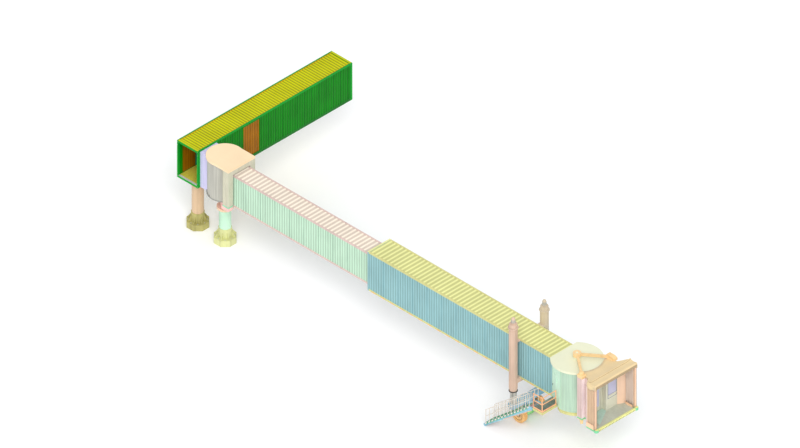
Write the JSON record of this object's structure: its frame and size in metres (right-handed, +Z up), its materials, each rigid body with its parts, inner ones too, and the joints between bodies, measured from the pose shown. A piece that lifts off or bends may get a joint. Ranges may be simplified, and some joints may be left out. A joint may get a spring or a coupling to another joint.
{
  "type": "passenger boarding bridge with a fixed walkway",
  "caption": "Airport passenger boarding bridge: fixed walkway, rotunda on a column, two telescoping tunnels, wheeled lift, service stair and a turning cab with a canopy",
  "frame": {"origin": "middle of the underside of the rotunda column's base", "axes": "+X along the tunnels to the cab, +Y along the walkway to the building's wall, +Z up"},
  "size_m": [39.2498, 16.004, 8.49],
  "materials": {
    "walkway_green": "satin",
    "walkway_dark_green": "satin",
    "roof_yellow": "satin",
    "floor_yellow": "matte",
    "infill_orange": "satin",
    "pedestal_tan": "satin",
    "base_olive": "matte",
    "vestibule_lavender": "satin",
    "column_mint": "satin",
    "curtain_grey": "satin",
    "yoke_pink": "satin",
    "floor_grey": "matte",
    "plate_green": "satin",
    "rotunda_peach": "satin",
    "rotunda_beige": "satin",
    "tunnel_mint": "satin",
    "roof_cream": "satin",
    "rail_pink": "satin",
    "tunnel_blue": "satin",
    "roof_pale_yellow": "satin",
    "rail_yellow": "satin",
    "lift_brown": "satin",
    "lift_steel": "satin",
    "bogie_blue": "satin",
    "wheel_orange": "matte",
    "drum_cream": "satin",
    "drum_green": "satin",
    "rail_orange": "satin",
    "tread_pink": "matte",
    "stair_beige": "satin",
    "cab_pink": "satin",
    "cab_glass": "gloss",
    "canopy_tan": "matte",
    "bellows_orange": "matte",
    "bumper_yellow": "matte"
  },
  "bodies": {
    "root": {"pedestal_base": "base_olive", "pedestal_column": "pedestal_tan", "walkway_floor": "floor_yellow", "walkway_beams": "walkway_dark_green", "walkway_left_wall": "walkway_green", "walkway_right_wall": "walkway_green", "walkway_infills": "infill_orange", "walkway_roof": "roof_yellow", "walkway_roof_rails": "walkway_green", "walkway_frames": "walkway_green", "vestibule": "vestibule_lavender", "rotunda_base": "base_olive", "rotunda_column": "column_mint", "fixed_curtains": "curtain_grey"},
    "rotunda": {"rotunda_yoke": "yoke_pink", "rotunda_floor": "plate_green", "rotunda_roof": "rotunda_peach", "rotunda_shell": "rotunda_beige", "moving_curtains": "curtain_grey"},
    "tunnel_a": {"tunnel_a_floor": "floor_grey", "tunnel_a_left_wall": "tunnel_mint", "tunnel_a_right_wall": "tunnel_mint", "tunnel_a_roof": "roof_cream", "tunnel_a_rails": "rail_pink"},
    "tunnel_b": {"tunnel_b_floor": "floor_grey", "tunnel_b_left_wall": "tunnel_blue", "tunnel_b_right_wall": "tunnel_blue", "tunnel_b_roof": "roof_pale_yellow", "tunnel_b_rails": "rail_yellow", "tunnel_b_portal": "tunnel_blue", "lift_columns": "lift_brown", "drum_floor": "rail_yellow", "drum_roof": "drum_cream", "drum_panels": "drum_green", "drum_slats": "drum_green", "landing_deck": "floor_grey", "landing_rails": "rail_orange"},
    "lift": {"lift_legs": "lift_steel"},
    "bogie": {"bogie": "bogie_blue"},
    "wheel_left": {"wheel_left": "wheel_orange"},
    "wheel_right": {"wheel_right": "wheel_orange"},
    "service_door": {"service_door": "drum_green"},
    "stair": {"stair_stringers": "tunnel_blue", "stair_treads": "tread_pink", "stair_rails": "stair_beige"},
    "cab": {"cab_floor": "floor_grey", "cab_arms": "canopy_tan", "cab_walls": "cab_pink", "cab_bulkhead": "rotunda_beige", "cab_glass": "cab_glass", "cab_curtains": "drum_green", "canopy_top": "canopy_tan", "canopy_sides": "bellows_orange", "cab_bumper": "bumper_yellow"},
    "cab_door": {"cab_door": "rotunda_beige"}
  },
  "joints": [
    {"name": "rotunda_swing", "type": "hinge", "parent": "root", "child": "rotunda", "pos_m": [0, 0, 2.7], "axis": [0, 0, 1], "range_deg": [-40, 15]},
    {"name": "tunnel_pitch", "type": "hinge", "parent": "rotunda", "child": "tunnel_a", "pos_m": [1.4, 0, 3.7], "axis": [0, -1, 0], "range_deg": [-2, 2.4]},
    {"name": "tunnel_slide", "type": "slide", "parent": "tunnel_a", "child": "tunnel_b", "axis": [1, 0, 0], "range_m": [-11, 1]},
    {"name": "lift_slide", "type": "slide", "parent": "tunnel_b", "child": "lift", "axis": [0, 0, -1], "range_m": [-0.93, 1.12]},
    {"name": "bogie_steer", "type": "hinge", "parent": "lift", "child": "bogie", "pos_m": [27.7, 0, 1.38], "axis": [0, 0, 1], "range_deg": [-90, 90]},
    {"name": "wheel_left_spin", "type": "hinge", "parent": "bogie", "child": "wheel_left", "pos_m": [27.7, 0.85, 0.6], "axis": [0, 1, 0], "continuous": true},
    {"name": "wheel_right_spin", "type": "hinge", "parent": "bogie", "child": "wheel_right", "pos_m": [27.7, -0.85, 0.6], "axis": [0, 1, 0], "continuous": true},
    {"name": "cab_swing", "type": "hinge", "parent": "tunnel_b", "child": "cab", "pos_m": [32.1, 0, 3.35], "axis": [0, 0, 1], "range_deg": [-25, 25]},
    {"name": "stair_pitch", "type": "hinge", "parent": "tunnel_b", "child": "stair", "pos_m": [30.85, -2.42, 3.57], "axis": [0, -1, 0], "range_deg": [-12.5, 15]},
    {"name": "service_door_hinge", "type": "hinge", "parent": "tunnel_b", "child": "service_door", "pos_m": [31.6416, -1.4455, 3.72], "axis": [0, 0, 1], "range_deg": [0, 90]},
    {"name": "cab_door_hinge", "type": "hinge", "parent": "cab", "child": "cab_door", "pos_m": [34.225, -0.8, 3.72], "axis": [0, 0, 1], "range_deg": [-90, 0]}
  ],
  "couplings": [
    {"joint": "lift_slide", "follows": "tunnel_pitch", "m_per_rad": 26.3},
    {"joint": "stair_pitch", "follows": "tunnel_pitch", "ratio": 6.2}
  ]
}
